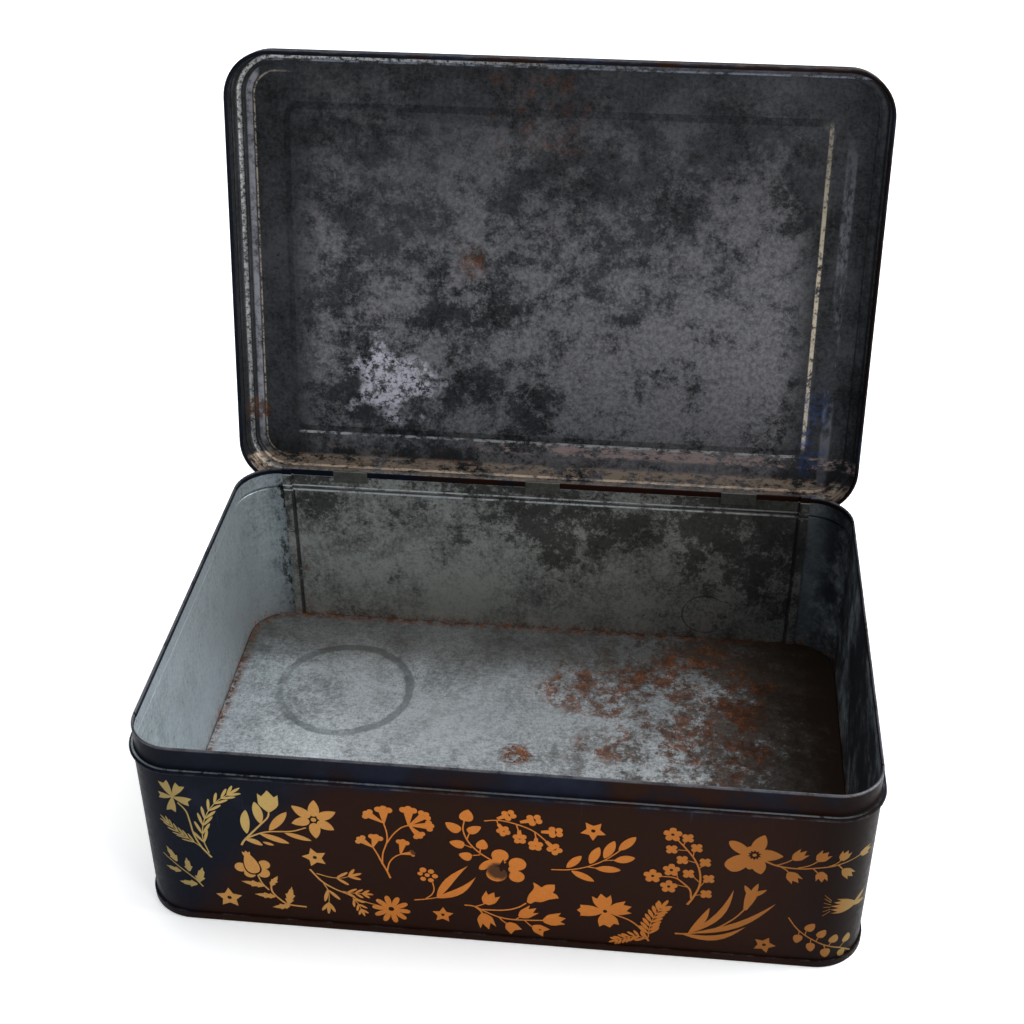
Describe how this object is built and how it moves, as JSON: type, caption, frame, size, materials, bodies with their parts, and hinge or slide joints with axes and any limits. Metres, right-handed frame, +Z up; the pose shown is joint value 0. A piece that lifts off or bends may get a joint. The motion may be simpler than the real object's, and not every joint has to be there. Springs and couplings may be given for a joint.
{
  "type": "hinged tin box",
  "caption": "Shallow rectangular sheet-metal box with rounded corners and a hinged lid, shown standing open; black enamel outside, bare tinplate inside.",
  "frame": {"origin": "middle of the plane that the crimped base ring stands on", "axes": "+X to the right along the width, front faces -Y, +Z up; the lid is hinged at the back"},
  "size_m": [0.315, 0.2759, 0.3009],
  "materials": {
    "enamelled_tinplate": "gloss black printed enamel outside, bare aged tinplate inside",
    "bare_tinplate": "aged, stained and partly rusted",
    "hinge_tinplate": "dull, darkened",
    "hinge_wire": "dull drawn wire"
  },
  "bodies": {
    "body": {"body_wrap": "enamelled_tinplate", "back_panel": "enamelled_tinplate", "base_pan": "bare_tinplate", "hinge_strap_left": "hinge_tinplate", "hinge_strap_center": "hinge_tinplate", "hinge_strap_right": "hinge_tinplate"},
    "lid": {"lid_pressing": "enamelled_tinplate", "hinge_wire": "hinge_wire"}
  },
  "joints": [
    {"name": "lid_hinge", "type": "hinge", "parent": "body", "child": "lid", "pos_m": [0, 0.10805, 0.0886], "axis": [-1, 0, 0], "range_deg": [-102, 0]}
  ]
}
